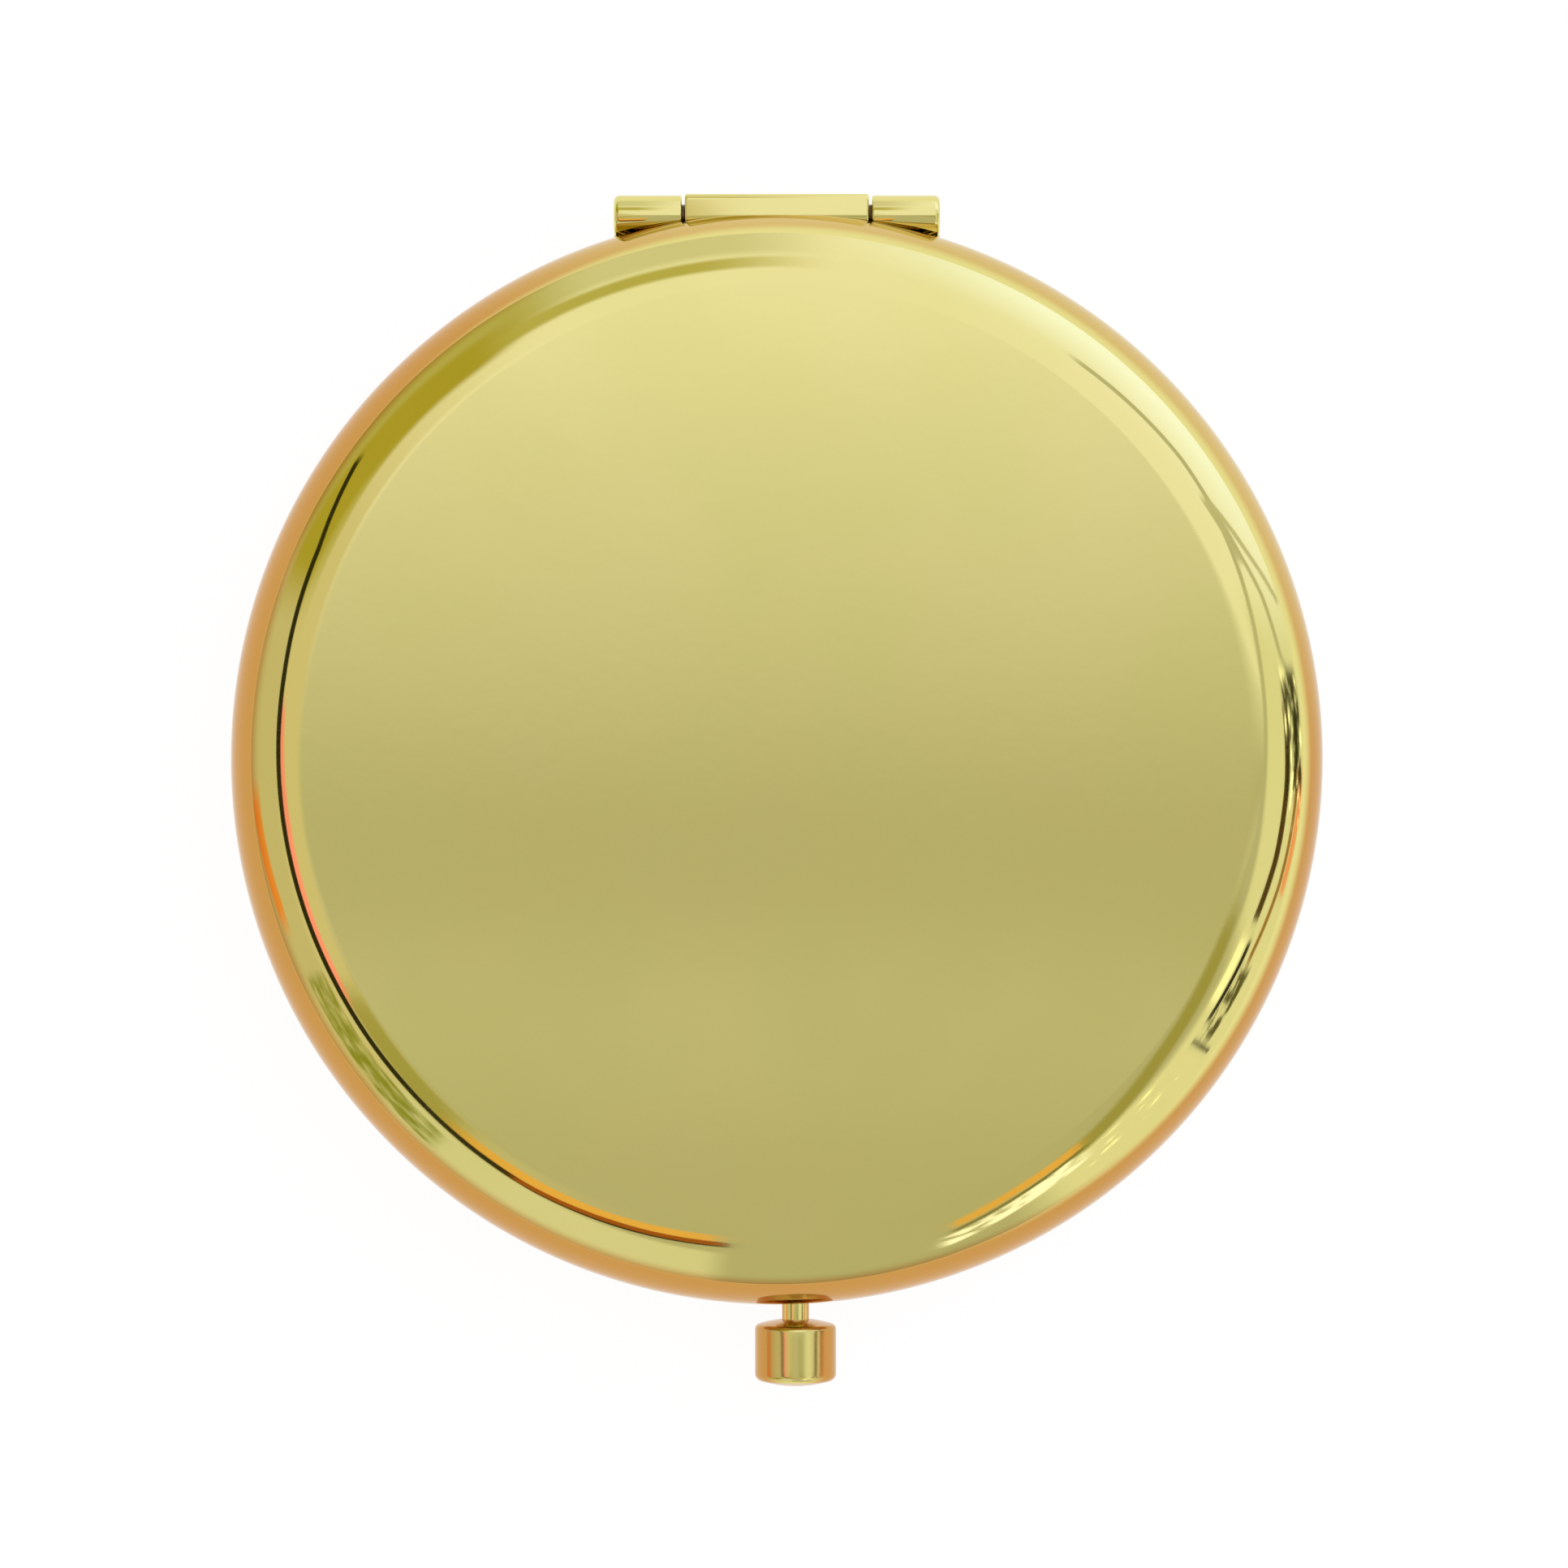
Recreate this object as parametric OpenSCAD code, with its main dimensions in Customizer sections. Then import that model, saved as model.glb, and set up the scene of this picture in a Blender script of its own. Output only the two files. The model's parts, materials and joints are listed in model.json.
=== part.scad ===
// Round compact mirror with a push button, closed. Millimetres, +Z up.
// The origin is the middle of the flat underside, the hinge is towards +Y
// and the button towards -Y. Both halves are drawn lying on their outside
// face, and the lid's half is then turned over onto the base's.

/* [Case] */
// Diameter of the case
case_d = 70; // [66:0.5:90]
// Thickness of the closed case
case_h = 10.5; // [10.4:0.1:14]
// Gap between the rims of the closed halves
rim_gap = 0.2; // [0.1:0.05:0.3]
// Radius of the rounded shoulder of each half
shoulder_r = 4.9; // [4:0.1:4.9]
// Sheet thickness of the two shells
shell_t = 0.5; // [0.4:0.05:0.6]

/* [Trays] */
// Sheet thickness of the trays that hold the mirrors
tray_t = 0.4; // [0.3:0.05:0.5]
// Depth of the trays' turned edge
tray_skirt = 0.9; // [0.6:0.1:1.2]
// Clearance between a tray and its shell
tray_fit = 0.1; // [0.05:0.05:0.2]

/* [Mirrors] */
// Thickness of the glass
mirror_t = 1.1; // [0.8:0.1:1.2]
// Depth of the glass under the rim
mirror_drop = 0.15; // [0.1:0.05:0.3]
// Clearance round the glass
mirror_fit = 0.1; // [0.05:0.05:0.3]
// Width of the bevel on the edge of the glass
mirror_bevel = 0.3; // [0.1:0.1:0.6]
// Depth of the magnifying mirror's dish
dish = 0.4; // [0.2:0.05:0.45]
// Thickness of the foam that the mirrors are stuck on
pad_t = 0.25; // [0.15:0.05:0.3]

/* [Hinge] */
// Width over all the knuckles
hinge_w = 20.9; // [18:0.1:24]
// Width of the lid's knuckle
knuckle_w = 11.8; // [8:0.1:14]
// Gap between two knuckles
knuckle_gap = 0.2; // [0.1:0.05:0.4]
// Diameter of the knuckles
barrel_d = 2.7; // [2.4:0.1:3]
// Radius of the back edge of the lid's flat-topped knuckle
knuckle_round = 0.35; // [0.2:0.05:0.6]
// Distance of the hinge pin inside the edge of the case
hinge_inset = 0.2; // [0:0.05:0.3]
// Diameter of the hinge pin
pin_d = 1.5; // [1:0.1:1.6]
// Clearance round the hinge pin
pin_fit = 0.04; // [0.02:0.01:0.08]
// Clearance round the knuckles in the shells
hinge_clear = 0.15; // [0.1:0.05:0.3]
// Gap between the back edges when the lid lies flat open
open_gap = 0.16; // [0.1:0.02:0.3]
// Sheet thickness of the hinge leaves
leaf_t = 0.5; // [0.4:0.05:0.6]

/* [Button] */
// Length of the push button
button_len = 4.4; // [3.6:0.1:6]
// Radius of the push button's edges
button_round = 0.7; // [0.3:0.1:1.2]
// Radius of the domes on the push button's ends
button_dome = 8; // [6:0.5:20]
// Sideways place of the push button
button_x = 1.2; // [-1.5:0.1:1.5]
// Gap under the push button
button_lift = 0.48; // [0.3:0.02:0.8]
// Bare stem between the case and the button
button_gap = 1.05; // [1.02:0.01:1.6]
// Travel of the push button
button_travel = 0.9; // [0.8:0.05:1]
// Diameter of the stem
stem_d = 1.75; // [1.5:0.05:2]
// Running clearance round the stem
stem_fit = 0.05; // [0.03:0.01:0.1]
// Outside diameter of the stem's bush
bush_d = 3.4; // [3:0.1:3.6]
// Height of the rim left over the stem's bush
bush_band = 0.35; // [0.3:0.05:0.5]
// Length of the stem's bush
bush_len = 2.55; // [2.4:0.05:2.7]

/* [Latch] */
// Sheet thickness of the slider
slider_t = 0.6; // [0.5:0.05:0.7]
// Width of the slider
slider_w = 4.4; // [3.6:0.1:5]
// Length of the slider's foot
foot_len = 5.8; // [5:0.1:6.4]
// Clearance round the slider in its guide
slider_clear = 0.15; // [0.1:0.05:0.2]
// Clearance round the slider in the trays' slots
slot_clear = 0.3; // [0.2:0.05:0.4]
// Gap between the pressed slider and the wall round the mirror
latch_room = 0.75; // [0.5:0.05:1.5]
// Height of the hook's nose
hook_h = 0.8; // [0.6:0.1:1]
// Distance by which the pressed hook clears the catch
release_clear = 0.25; // [0.15:0.05:0.3]
// Thickness of the catch plate
catch_t = 0.5; // [0.4:0.05:0.6]
// Width of the catch plate on each side of its slot
catch_ear = 2.8; // [2.4:0.1:3.2]
// Sheet thickness of the slider's guide
guide_t = 0.4; // [0.3:0.05:0.45]

/* [Spring and rivets] */
// Diameter of the spring's wire
spring_wire = 0.25; // [0.2:0.01:0.28]
// Length of the fitted spring
spring_len = 4.8; // [4.6:0.1:6]
// Turns of the spring
spring_turns = 5; // [3:1:5]
// Diameter of all rivets
rivet_d = 1.1; // [0.8:0.05:1.2]
// Diameter of the rivets' heads
rivet_head_d = 1.8; // [1.5:0.1:1.8]
// Thickness of the rivets' heads
rivet_head_t = 0.35; // [0.25:0.05:0.4]

/* [Hidden] */

$fn = 96;
overrun = 1;

// Case: the half height, the radii of a half and the parting plane
case_r = case_d / 2;
half_h = (case_h - rim_gap) / 2;
mid_z = case_h / 2;
shoulder = min(shoulder_r, half_h - shell_t / 2);
inner_r = case_r - shell_t;
case_fn = 240;

// Button: its axis, and distances from the middle of the case to the front
button_z = half_h - bush_band - bush_d / 2;
button_r = button_z - button_lift;
bush_set = 0.05;
bush_front = case_r - bush_set;
bush_back = bush_front - bush_len;
bush_seat = 0.02;
cap_back = case_r + button_gap;
cap_bore = button_len * 2 / 3;
cap_fit = 0.02;
stop_gap = 0.3;
slider_front = bush_back - stop_gap;
slider_back = slider_front - slider_t;

// Trays and mirrors: a flange at the rim, and a recess for the glass that is
// as wide as the latch in front of it allows
tray_r = inner_r - tray_fit;
flange_z = half_h - tray_t;
recess_out_r = slider_back - button_travel - rivet_head_t - latch_room;
recess_r = recess_out_r - tray_t;
mirror_r = recess_r - mirror_fit;
glass_z = half_h - mirror_drop;
dish_steps = 10;

function floor_z(d) = glass_z - d - mirror_t - pad_t;

// Hinge: the pin's axis, the knuckles' spans along it and the leaves' depth
axis_y = case_r - hinge_inset;
barrel_r = barrel_d / 2;
swing_r = sqrt(2) * (barrel_r - knuckle_round) + knuckle_round;
pin_setback = 0.15;
leaf_edge_clear = 0.15;
end_w = (hinge_w - knuckle_w) / 2 - knuckle_gap;
lid_spans = [[-knuckle_w / 2, knuckle_w / 2]];
base_spans = [[-hinge_w / 2, end_w - hinge_w / 2], [hinge_w / 2 - end_w, hinge_w / 2]];
leaf_back = sqrt(pow(tray_r - tray_t - leaf_edge_clear, 2) - pow(hinge_w / 2, 2));
leaf_front = recess_out_r + slot_clear;
leaf_z = flange_z - leaf_t;
hinge_rivet_y = (leaf_front + leaf_back) / 2;
base_rivet_x = hinge_w / 2 - end_w / 2;
lid_rivet_x = knuckle_w / 3;

// Rivets fit their holes closely
rivet_fit = 0.02;
rivet_margin = 0.3;

// Slider: an upright plate against the bush and a foot that runs back
foot_back = slider_front - foot_len;
guide_z = floor_z(dish) - tray_t - guide_t;
foot_top = guide_z - slider_clear;
stem_head_d = min(rivet_head_d, 2 * (button_z - foot_top - rivet_fit));
floor_clear = 0.3;
tab_z = shell_t + floor_clear;
hook_reach = slider_clear + button_travel - release_clear;
hook_z = case_h - flange_z + catch_t + slider_clear;
hook_tip_h = hook_h / 3;

// Catch in the lid and the trays' slots
catch_edge = slider_front + slider_clear;
catch_bar = 0.75;
catch_lip = 0.4;
slot_back = slider_back - button_travel - slot_clear;
slot_front = slider_front + slot_clear;
slot_w = slider_w + 2 * slot_clear;
catch_back = slot_back - slot_clear;
catch_rivet_x = (slot_w + catch_ear) / 2;
catch_rivet_y = (catch_back + catch_edge + catch_bar) / 2;

// Guide: a channel that opens downwards, with a wall behind the spring
seat_gap = 0.05;
guide_wall = foot_back - spring_len - seat_gap;
guide_back = guide_wall - guide_t;
guide_front = recess_out_r - slot_clear;
channel_w = slider_w + 2 * slider_clear;
ear_rivet_x = channel_w / 2 + guide_t + rivet_head_d / 2 + slider_clear;
ear_w = 2 * ear_rivet_x + rivet_head_d + 2 * rivet_margin;
ear_y = (guide_wall + guide_front) / 2;
ear_len = rivet_head_d + 2 * rivet_margin;

// Spring: straight ends, a lead into the helix, and eight rings a turn
spring_d = foot_top - tab_z;
coil_z = tab_z + spring_d / 2;
coil_r = (spring_d - spring_wire) / 2;
coil_sides = 6;
turn_rings = 8;
lead_rings = 4;
lead_angle = 40;
lead_end = lead_rings + 1;
lead_h = 1.4 * spring_wire;
coil_rings = spring_turns * turn_rings + 2 * lead_end;
spigot_share = 0.8;
spigot_d = spigot_share * (spring_d - 2 * spring_wire);
spigot_len = 4 * spring_wire;

function lead_share(i) = max(0, (i - 1) / lead_rings);
function lead_rise(i) = i == 0 ? 0
    : spring_wire + lead_h * lead_share(i) * (2 - lead_share(i));
function lead_turn(i) = lead_angle * (1 - pow(lead_share(i), 2));
function coil_angle(i) =
    i <= lead_end ? -lead_turn(i)
    : i >= coil_rings - lead_end ? spring_turns * 360 + lead_turn(coil_rings - i)
    : (i - lead_end) * 360 / turn_rings;
function coil_along(i) =
    i <= lead_end ? lead_rise(i)
    : i >= coil_rings - lead_end ? spring_len - lead_rise(coil_rings - i)
    : lead_rise(lead_end) + (i - lead_end) / (coil_rings - 2 * lead_end)
        * (spring_len - 2 * lead_rise(lead_end));
function coil_out(i) = [cos(coil_angle(i)), 0, sin(coil_angle(i))];
function coil_centre(i) = coil_r * coil_out(i) + [0, coil_along(i), 0];
function unit(v) = v / norm(v);
function coil_tangent(i) = unit(
    coil_centre(min(i + 1, coil_rings)) - coil_centre(max(i - 1, 0)));
function coil_point(i, k) =
    let (out = unit(coil_out(i) - (coil_out(i) * coil_tangent(i)) * coil_tangent(i)))
    coil_centre(i) + spring_wire / 2
        * (cos(k * 360 / coil_sides) * out
            + sin(k * 360 / coil_sides) * cross(coil_tangent(i), out));

coil_gap = min([
    for (i = [0 : coil_rings], j = [i + turn_rings - 2 : 1 : coil_rings])
        norm(coil_centre(i) - coil_centre(j))
]) - spring_wire;
echo("Least gap of the latch spring to itself", coil_gap);

// Turns a half that lies on its outside face over onto the base
module over_base() {
    translate([0, 0, case_h])
        mirror([0, 0, 1])
            children();
}

// Places something drawn along +Z so that it runs forward from the distance y
module forward(y, z) {
    translate([button_x, -y, z])
        rotate([90, 0, 0])
            children();
}

// A block by its two corners
module block(low, high) {
    translate(low)
        cube(high - low);
}

// Half the outline of a bowl with one rounded corner
module bowl_outline(r, corner, top) {
    intersection() {
        square([r, top]);
        union() {
            square([r - corner, top]);
            translate([0, corner])
                square([r, top]);
            translate([r - corner, corner])
                circle(corner, $fn = case_fn);
        }
    }
}

// A bar of radius r along the hinge's axis, w long to each side
module hinge_bar(w, r) {
    translate([-w, axis_y, mid_z])
        rotate([0, 90, 0])
            cylinder(h = 2 * w, r = r);
}

// The room that the knuckles and the webs of one leaf need in a half, where
// middle_r is the reach of the lid's knuckle as it swings past
module hinge_room(spans, web_top, middle_r) {
    w = hinge_w / 2 + hinge_clear;
    hinge_bar(w, barrel_r + hinge_clear);
    hinge_bar(knuckle_w / 2 + hinge_clear, middle_r + hinge_clear);
    block([-w, axis_y - open_gap / 2, -overrun], [w, case_r + overrun, half_h + overrun]);
    for (s = spans)
        block([s[0] - hinge_clear, leaf_back, leaf_z - hinge_clear],
            [s[1] + hinge_clear, case_r + overrun, web_top]);
}

module half_shell(spans, middle_r) {
    difference() {
        rotate_extrude($fn = case_fn)
            difference() {
                bowl_outline(case_r, shoulder, half_h);
                translate([0, shell_t])
                    bowl_outline(inner_r, shoulder - shell_t, half_h);
            }
        hinge_room(spans, half_h + overrun, middle_r);
    }
}

module half_tray(d, middle_r) {
    floor_top = floor_z(d);
    difference() {
        rotate_extrude($fn = case_fn)
            polygon([
                [0, floor_top - tray_t],
                [recess_out_r, floor_top - tray_t],
                [recess_out_r, flange_z],
                [tray_r - tray_t, flange_z],
                [tray_r - tray_t, half_h - tray_skirt],
                [tray_r, half_h - tray_skirt],
                [tray_r, half_h],
                [recess_r, half_h],
                [recess_r, floor_top],
                [0, floor_top]
            ]);
        hinge_room([[-hinge_w / 2, hinge_w / 2]], flange_z, middle_r);
    }
}

// Height of a dished surface, given its height at the edge
function dished(edge_z, d, r) = edge_z - d * (1 - pow(r / mirror_r, 2));
function dish_r(i) = mirror_r * i / dish_steps;

module glass(d) {
    rotate_extrude($fn = case_fn)
        polygon(concat(
            [for (i = [0 : dish_steps]) [dish_r(i), dished(glass_z - mirror_t, d, dish_r(i))]],
            [[mirror_r, glass_z - mirror_bevel / 2]],
            [[mirror_r - mirror_bevel, dished(glass_z, d, mirror_r - mirror_bevel)]],
            [for (i = [dish_steps - 1 : -1 : 0]) [dish_r(i), dished(glass_z, d, dish_r(i))]]
        ));
}

module mirror_pad(d) {
    rotate_extrude($fn = case_fn)
        polygon(concat(
            [[0, floor_z(d)], [mirror_r, floor_z(d)]],
            [for (i = [dish_steps : -1 : 0]) [dish_r(i), dished(glass_z - mirror_t, d, dish_r(i))]]
        ));
}

// A rivet flush at the top, with its head under what it holds
module rivet(low, top) {
    translate([0, 0, low - rivet_head_t]) {
        cylinder(h = top - low + rivet_head_t, d = rivet_d);
        cylinder(h = rivet_head_t, d = rivet_head_d);
    }
}

module rivet_hole(low, top) {
    translate([0, 0, low - overrun])
        cylinder(h = top - low + 2 * overrun, d = rivet_d + 2 * rivet_fit);
}

module at_pair(x, y, middle = 0) {
    for (side = [-1, 1])
        translate([middle + side * x, y, 0])
            children();
}

// A knuckle's end, round or with the back quarter squared to a flat
module knuckle_outline(flat) {
    circle(barrel_r);
    if (flat) {
        translate([0, -barrel_r])
            square([barrel_r - knuckle_round, barrel_r]);
        translate([0, knuckle_round - barrel_r])
            square([barrel_r, barrel_r - knuckle_round]);
        translate([barrel_r - knuckle_round, knuckle_round - barrel_r])
            circle(knuckle_round);
    }
}

// A leaf under its tray's flange, with webs out to its knuckles
module hinge_leaf(spans, rivet_x, flat) {
    low_x = spans[0][0];
    high_x = spans[len(spans) - 1][1];
    difference() {
        union() {
            block([low_x, leaf_front, leaf_z], [high_x, leaf_back, flange_z]);
            for (s = spans) {
                block([s[0], leaf_front, leaf_z], [s[1], axis_y, flange_z]);
                translate([s[0], axis_y, mid_z])
                    rotate([90, 0, 90])
                        linear_extrude(height = s[1] - s[0])
                            knuckle_outline(flat);
            }
        }
        translate([low_x - overrun, axis_y, mid_z])
            rotate([0, 90, 0])
                cylinder(h = high_x - low_x + 2 * overrun, d = pin_d + 2 * pin_fit);
        at_pair(rivet_x, hinge_rivet_y)
            rivet_hole(leaf_z, flange_z);
    }
}

module base_shell() {
    color("gold")
        difference() {
            half_shell(base_spans, swing_r);
            forward(bush_back, button_z)
                cylinder(h = bush_len + overrun, d = bush_d + 2 * bush_seat);
        }
}

module base_tray() {
    color("goldenrod")
        difference() {
            half_tray(dish, swing_r);
            forward(bush_back, button_z)
                cylinder(h = bush_len, d = bush_d + 2 * slider_clear);
            block([button_x - slot_w / 2, -slot_front, flange_z - overrun],
                [button_x + slot_w / 2, -slot_back, half_h + overrun]);
            at_pair(base_rivet_x, hinge_rivet_y)
                rivet_hole(flange_z, half_h);
            at_pair(ear_rivet_x, -ear_y, button_x)
                rivet_hole(guide_z, floor_z(dish));
        }
}

module base_mirror() {
    color("lightsteelblue")
        glass(dish);
}

module base_mirror_pad() {
    color("white")
        mirror_pad(dish);
}

module base_hinge_leaf() {
    color("gold")
        hinge_leaf(base_spans, base_rivet_x, false);
}

module base_hinge_rivets() {
    color("silver")
        at_pair(base_rivet_x, hinge_rivet_y)
            rivet(leaf_z, half_h);
}

module hinge_pin() {
    color("silver")
        translate([pin_setback - hinge_w / 2, axis_y, mid_z])
            rotate([0, 90, 0])
                cylinder(h = hinge_w - 2 * pin_setback, d = pin_d);
}

module stem_bush() {
    color("gold")
        forward(bush_back, button_z)
            difference() {
                cylinder(h = bush_len, d = bush_d);
                translate([0, 0, -overrun])
                    cylinder(h = bush_len + 2 * overrun, d = stem_d + 2 * stem_fit);
            }
}

module latch_guide() {
    half = channel_w / 2;
    out = half + guide_t;
    color("silver")
        translate([button_x, 0, 0]) {
            difference() {
                union() {
                    block([-out, -guide_front, guide_z], [out, -guide_back, guide_z + guide_t]);
                    block([-ear_w / 2, -ear_y - ear_len / 2, guide_z],
                        [ear_w / 2, -ear_y + ear_len / 2, guide_z + guide_t]);
                }
                at_pair(ear_rivet_x, -ear_y)
                    rivet_hole(guide_z, guide_z + guide_t);
            }
            block([-out, -guide_front, tab_z], [-half, -guide_back, guide_z]);
            block([half, -guide_front, tab_z], [out, -guide_back, guide_z]);
            block([-half, -guide_wall, tab_z], [half, -guide_back, guide_z]);
            translate([0, -guide_back, coil_z])
                rotate([90, 0, 0])
                    cylinder(h = guide_t + spigot_len, d = spigot_d);
        }
}

module latch_guide_rivets() {
    color("silver")
        at_pair(ear_rivet_x, -ear_y, button_x)
            rivet(guide_z, floor_z(dish));
}

// One wire: rings along the coil, joined by triangles and closed at both ends
module latch_spring() {
    ring = [for (k = [0 : coil_sides - 1]) k];
    points = [for (i = [0 : coil_rings], k = ring) coil_point(i, k)];
    sides = [
        for (i = [0 : coil_rings - 1], k = ring)
            let (a = i * coil_sides + k,
                b = i * coil_sides + (k + 1) % coil_sides)
            each [[a, b, b + coil_sides], [a, b + coil_sides, a + coil_sides]]
    ];
    last = coil_rings * coil_sides;
    ends = [
        for (k = [1 : coil_sides - 2])
            each [[0, k + 1, k], [last, last + k, last + k + 1]]
    ];
    color("silver")
        translate([button_x, -guide_wall, coil_z])
            mirror([0, 1, 0])
                polyhedron(points, concat(sides, ends));
}

module lid_shell() {
    color("gold")
        over_base()
            half_shell(lid_spans, barrel_r);
}

module lid_tray() {
    color("goldenrod")
        over_base()
            difference() {
                half_tray(0, barrel_r);
                block([button_x - slot_w / 2, -catch_edge - catch_lip, flange_z - overrun],
                    [button_x + slot_w / 2, -slot_back, half_h + overrun]);
                at_pair(lid_rivet_x, hinge_rivet_y)
                    rivet_hole(flange_z, half_h);
                at_pair(catch_rivet_x, -catch_rivet_y, button_x)
                    rivet_hole(flange_z, half_h);
            }
}

module lid_mirror() {
    color("lightsteelblue")
        over_base()
            glass(0);
}

module lid_mirror_pad() {
    color("white")
        over_base()
            mirror_pad(0);
}

module lid_hinge_leaf() {
    color("gold")
        over_base()
            hinge_leaf(lid_spans, lid_rivet_x, true);
}

module lid_hinge_rivets() {
    color("silver")
        over_base()
            at_pair(lid_rivet_x, hinge_rivet_y)
                rivet(leaf_z, half_h);
}

// Plate behind the lid's slot, open at the back, that the hook's nose grips
module catch_plate() {
    low = flange_z - catch_t;
    color("silver")
        over_base()
            difference() {
                block([button_x - slot_w / 2 - catch_ear, -catch_edge - catch_bar, low],
                    [button_x + slot_w / 2 + catch_ear, -catch_back, flange_z]);
                block([button_x - slot_w / 2, -catch_edge, low - overrun],
                    [button_x + slot_w / 2, overrun - catch_back, flange_z + overrun]);
                at_pair(catch_rivet_x, -catch_rivet_y, button_x)
                    rivet_hole(low, flange_z);
            }
}

module catch_plate_rivets() {
    color("silver")
        over_base()
            at_pair(catch_rivet_x, -catch_rivet_y, button_x)
                rivet(flange_z - catch_t, half_h);
}

// A round button with domed ends, drilled from the back for its stem
module button_cap() {
    edge = min(button_round, button_r / 2);
    color("gold")
        forward(cap_back, button_z)
            difference() {
                rotate_extrude()
                    intersection() {
                        union() {
                            square([button_r - edge, button_len]);
                            translate([0, edge])
                                square([button_r, button_len - 2 * edge]);
                            for (z = [edge, button_len - edge])
                                translate([button_r - edge, z])
                                    circle(edge);
                        }
                        translate([0, button_dome])
                            circle(button_dome, $fn = case_fn);
                        translate([0, button_len - button_dome])
                            circle(button_dome, $fn = case_fn);
                        square([button_r, button_len]);
                    }
                translate([0, 0, -overrun])
                    cylinder(h = cap_bore + overrun, d = stem_d + 2 * cap_fit);
            }
}

// Stem with a thinner end that is riveted through the slider
module button_stem() {
    color("gold") {
        forward(slider_front, button_z)
            cylinder(h = cap_back + cap_bore - cap_fit - slider_front, d = stem_d);
        forward(slider_back - rivet_head_t, button_z) {
            cylinder(h = cap_back - slider_back, d = rivet_d);
            cylinder(h = rivet_head_t, d = stem_head_d);
        }
    }
}

// Bent plate: tab against the spring, foot, upright and hook
module latch_slider() {
    hook_top = hook_z + hook_h;
    color("silver")
        union() {
            difference() {
                translate([button_x, 0, 0])
                    rotate([90, 0, 90])
                        linear_extrude(height = slider_w, center = true)
                            polygon([
                                [-foot_back, tab_z],
                                [-foot_back, foot_top],
                                [-slider_back, foot_top],
                                [-slider_back, hook_top],
                                [-slider_front, hook_top],
                                [-slider_front - hook_reach, hook_z + hook_tip_h],
                                [-slider_front - hook_reach, hook_z],
                                [-slider_front, hook_z],
                                [-slider_front, foot_top - slider_t],
                                [-foot_back - slider_t, foot_top - slider_t],
                                [-foot_back - slider_t, tab_z]
                            ]);
                forward(slider_back - overrun, button_z)
                    cylinder(h = slider_t + 2 * overrun, d = rivet_d + 2 * rivet_fit);
            }
            translate([button_x, -foot_back - slider_t, coil_z])
                rotate([-90, 0, 0])
                    cylinder(h = slider_t + spigot_len, d = spigot_d);
        }
}

base_shell();
base_tray();
base_mirror();
base_mirror_pad();
base_hinge_leaf();
base_hinge_rivets();
hinge_pin();
stem_bush();
latch_guide();
latch_guide_rivets();
latch_spring();
lid_shell();
lid_tray();
lid_mirror();
lid_mirror_pad();
lid_hinge_leaf();
lid_hinge_rivets();
catch_plate();
catch_plate_rivets();
button_cap();
button_stem();
latch_slider();
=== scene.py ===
# %% [markdown]
# This scene dresses a round compact mirror: two polished gold bowls that close on
# each other, a hinge at the back and a push button at the front.
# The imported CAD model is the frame. It is loaded first, and every size below is
# read from it, so that the pieces made here land where the CAD pieces are.

# %% Load the frame
import json

import bpy
import numpy as np
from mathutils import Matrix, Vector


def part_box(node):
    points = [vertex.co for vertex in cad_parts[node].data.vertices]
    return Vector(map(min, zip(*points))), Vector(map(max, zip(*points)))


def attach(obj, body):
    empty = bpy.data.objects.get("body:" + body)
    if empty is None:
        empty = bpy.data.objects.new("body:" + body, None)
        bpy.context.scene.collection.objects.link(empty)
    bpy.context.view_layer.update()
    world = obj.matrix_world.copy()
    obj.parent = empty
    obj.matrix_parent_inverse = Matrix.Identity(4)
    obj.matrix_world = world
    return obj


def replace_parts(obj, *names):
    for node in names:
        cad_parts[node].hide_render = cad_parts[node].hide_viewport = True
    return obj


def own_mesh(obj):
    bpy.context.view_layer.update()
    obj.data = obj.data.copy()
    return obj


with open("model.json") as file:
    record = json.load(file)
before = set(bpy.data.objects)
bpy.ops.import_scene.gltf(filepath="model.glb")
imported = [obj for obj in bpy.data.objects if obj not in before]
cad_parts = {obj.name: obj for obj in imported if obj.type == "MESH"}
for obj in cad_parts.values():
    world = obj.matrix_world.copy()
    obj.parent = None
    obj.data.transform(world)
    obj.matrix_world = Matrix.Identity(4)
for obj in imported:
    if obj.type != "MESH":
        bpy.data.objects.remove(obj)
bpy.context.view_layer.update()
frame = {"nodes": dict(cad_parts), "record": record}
MM = 0.001

# %% [markdown]
# The case is a lathe form, so a few radii and heights describe it. The boxes of
# the CAD nodes give the radius and the height, and the drawing gives the rest:
# a shoulder that is a quarter circle, a thin wall and a narrow gap at the rims.

# %% Sizes of the case
shell_low, shell_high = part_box("lid_shell")
CASE_R = shell_high.x
CASE_H = shell_high.z
MID_Z = CASE_H / 2
HALF_H = CASE_H - shell_low.z
SHOULDER = 4.9 * MM
WALL = 0.5 * MM
EDGE = 0.07 * MM
pin_low, pin_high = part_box("hinge_pin")
AXIS_Y = pin_low.y + (pin_high.y - pin_low.y) / 2
HINGE_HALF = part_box("base_hinge_leaf")[1].x
KNUCKLE_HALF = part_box("lid_hinge_leaf")[1].x
BARREL_R = MID_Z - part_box("base_hinge_leaf")[0].z
print("case radius", round(CASE_R / MM, 3), "height", round(CASE_H / MM, 3), "mm")
print("hinge axis", round(AXIS_Y / MM, 3), "half width", round(HINGE_HALF / MM, 3), "mm")

# %% [markdown]
# The photograph looks straight down, and its frame is square: 1932 pixels on
# each side. At the height of the case's widest line it spans 100.65 mm, and the
# middle of the case sits a little left of and above the middle of the frame.
# A long lens far away gives the same weak perspective, so the lens follows from
# the distance and from the width that has to fit.

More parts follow.
